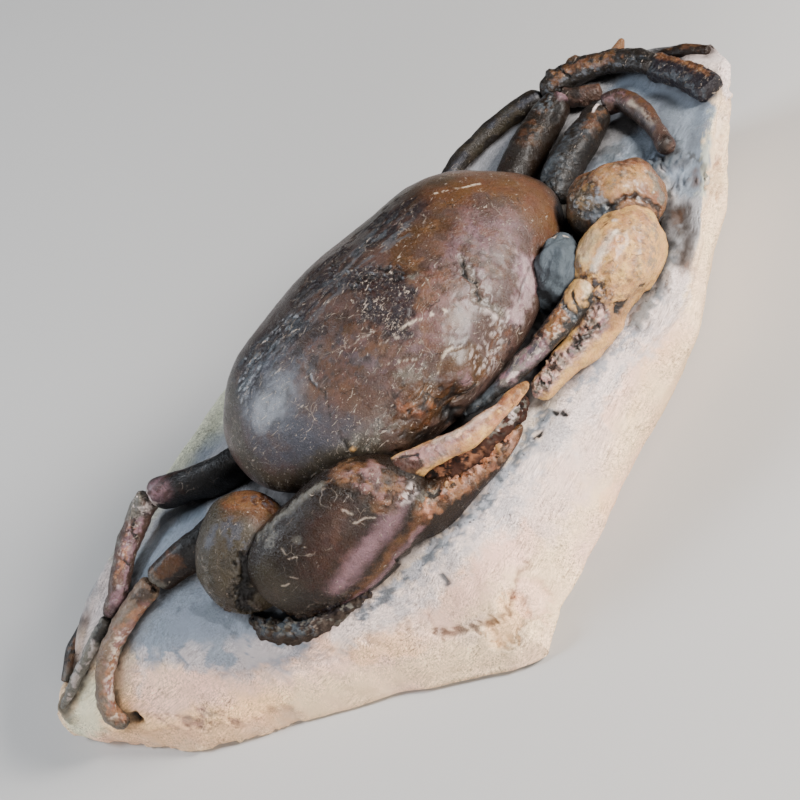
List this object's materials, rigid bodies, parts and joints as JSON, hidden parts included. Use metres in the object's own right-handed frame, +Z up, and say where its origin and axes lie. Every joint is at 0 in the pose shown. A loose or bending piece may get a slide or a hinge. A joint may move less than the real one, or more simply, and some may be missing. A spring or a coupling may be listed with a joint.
{
  "type": "fossil crab",
  "caption": "Fossil crab with a domed shell, folded claws and bent legs, lying half freed in a loose block of ground pale stone with a flat underside.",
  "frame": {"origin": "middle of the whole piece's bounding box, on the flat underside of the stone", "axes": "+X across the crab from its right side to its left, +Y from its face to its rear, +Z up out of its back"},
  "size_m": [0.269, 0.1422, 0.0788],
  "materials": {
    "matrix_stone": "dry ground limy stone, blue-grey near the crab and pinkish cream outside, with fine tool marks",
    "back_shell": "mineralised shell, mauve brown with an orange tint, pale flecks and scratches, under a thin gloss",
    "right_claw_shell": "mineralised shell, olive to chestnut brown, polished, lighter on the fingers",
    "left_claw_shell": "mineralised shell, cream yellow with rust stains, polished",
    "leg_shell": "mineralised shell, dark brown to rusty pink, pitted and lightly glossy"
  },
  "bodies": {
    "root": {"matrix": "matrix_stone", "carapace": "back_shell", "right_claw_wrist": "right_claw_shell", "right_claw_palm": "right_claw_shell", "right_claw_finger": "right_claw_shell", "left_claw_wrist": "left_claw_shell", "left_claw_palm": "left_claw_shell", "left_claw_finger": "left_claw_shell", "right_rear_leg_thigh": "leg_shell", "right_rear_leg_shin": "leg_shell", "right_rear_leg_tip": "leg_shell", "right_front_leg_thigh": "leg_shell", "right_front_leg_shin": "leg_shell", "right_outer_leg_tip": "leg_shell", "left_rear_leg_thigh": "leg_shell", "left_rear_leg_shin": "leg_shell", "left_rear_leg_tip": "leg_shell", "left_middle_leg_thigh": "leg_shell", "left_middle_leg_shin": "leg_shell", "left_front_leg_thigh": "leg_shell", "left_front_leg_shin": "leg_shell", "left_outer_leg_spike": "leg_shell", "left_outer_leg_strip": "leg_shell"}
  },
  "joints": []
}
